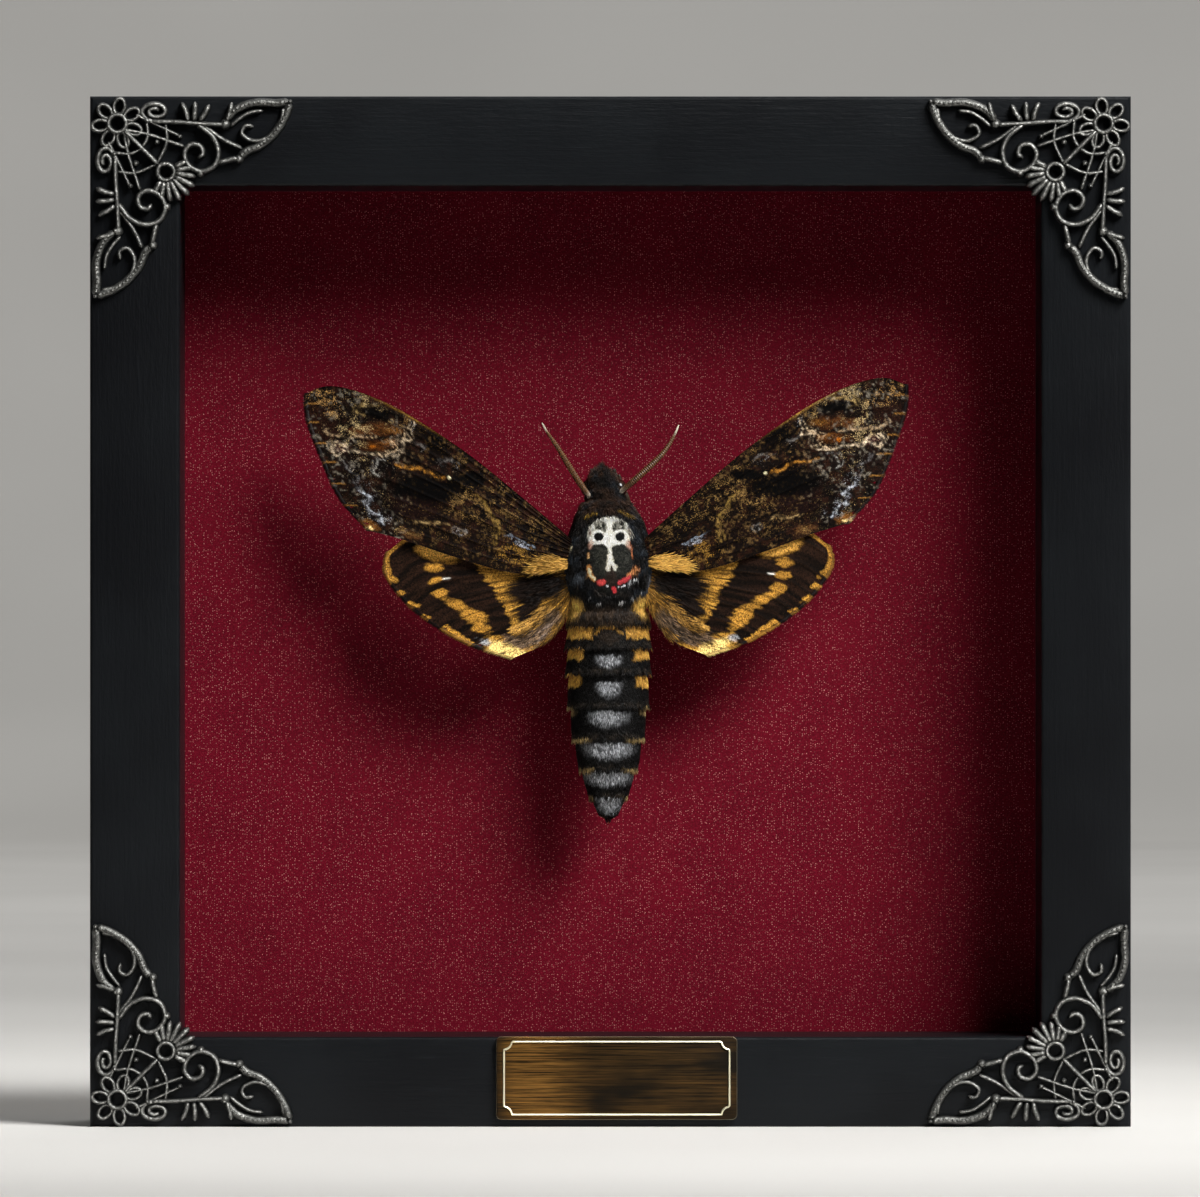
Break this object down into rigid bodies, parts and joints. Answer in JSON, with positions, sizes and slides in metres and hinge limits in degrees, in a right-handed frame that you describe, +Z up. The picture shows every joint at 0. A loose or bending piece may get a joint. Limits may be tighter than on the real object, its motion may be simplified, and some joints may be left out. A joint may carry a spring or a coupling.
{
  "type": "mounted death's-head hawkmoth",
  "caption": "Life-size hawkmoth with a skull-like mark, wings spread, mounted in an upright, open-fronted shadow box with pierced metal corners and a blank plate.",
  "frame": {"origin": "under the middle of the box, on the surface that its bottom rail stands on", "axes": "+X to the viewer's right, -Y out of the open front, +Z up, from the moth's abdomen to its head"},
  "size_m": [0.2, 0.0392, 0.198],
  "materials": {
    "painted_wood": "satin black paint over fine wood grain",
    "red_board": "deep wine red board with a fine sparkle",
    "bare_board": "bare hardboard",
    "antique_silver": "antique silver with blackened recesses",
    "aged_brass": "dark aged brass, brushed, with a bright raised line",
    "zinc_fittings": "plain zinc",
    "moth_fur": "short, dense, black and brown fur with pale and yellow markings",
    "forewing_scales": "dull scales, near-black with ochre, rust and cream markings",
    "hindwing_scales": "dull scales, ochre yellow with black bands",
    "moth_antenna": "ringed brown horn",
    "moth_eye": "glossy dark brown",
    "moth_limbs": "dark brown, thinly scaled"
  },
  "bodies": {
    "root": {"rail_bottom": "painted_wood", "rail_right": "painted_wood", "rail_top": "painted_wood", "rail_left": "painted_wood", "backing_board": "red_board", "back_panel": "bare_board", "retaining_tab_1": "zinc_fittings", "retaining_tab_2": "zinc_fittings", "retaining_tab_3": "zinc_fittings", "retaining_tab_4": "zinc_fittings", "retaining_tab_5": "zinc_fittings", "retaining_tab_6": "zinc_fittings", "retaining_tab_7": "zinc_fittings", "retaining_tab_8": "zinc_fittings", "wall_hanger": "zinc_fittings", "mount_post": "zinc_fittings", "corner_bottom_left": "antique_silver", "corner_bottom_right": "antique_silver", "corner_top_right": "antique_silver", "corner_top_left": "antique_silver", "name_plate": "aged_brass", "moth_thorax": "moth_fur", "moth_head": "moth_fur", "moth_abdomen": "moth_fur", "moth_forewing_left": "forewing_scales", "moth_hindwing_left": "hindwing_scales", "moth_eye_left": "moth_eye", "moth_antenna_left": "moth_antenna", "moth_palp_left": "moth_fur", "moth_front_leg_left": "moth_limbs", "moth_middle_leg_left": "moth_limbs", "moth_hind_leg_left": "moth_limbs", "moth_forewing_right": "forewing_scales", "moth_hindwing_right": "hindwing_scales", "moth_eye_right": "moth_eye", "moth_antenna_right": "moth_antenna", "moth_palp_right": "moth_fur", "moth_front_leg_right": "moth_limbs", "moth_middle_leg_right": "moth_limbs", "moth_hind_leg_right": "moth_limbs", "moth_tongue": "moth_limbs"}
  },
  "joints": []
}
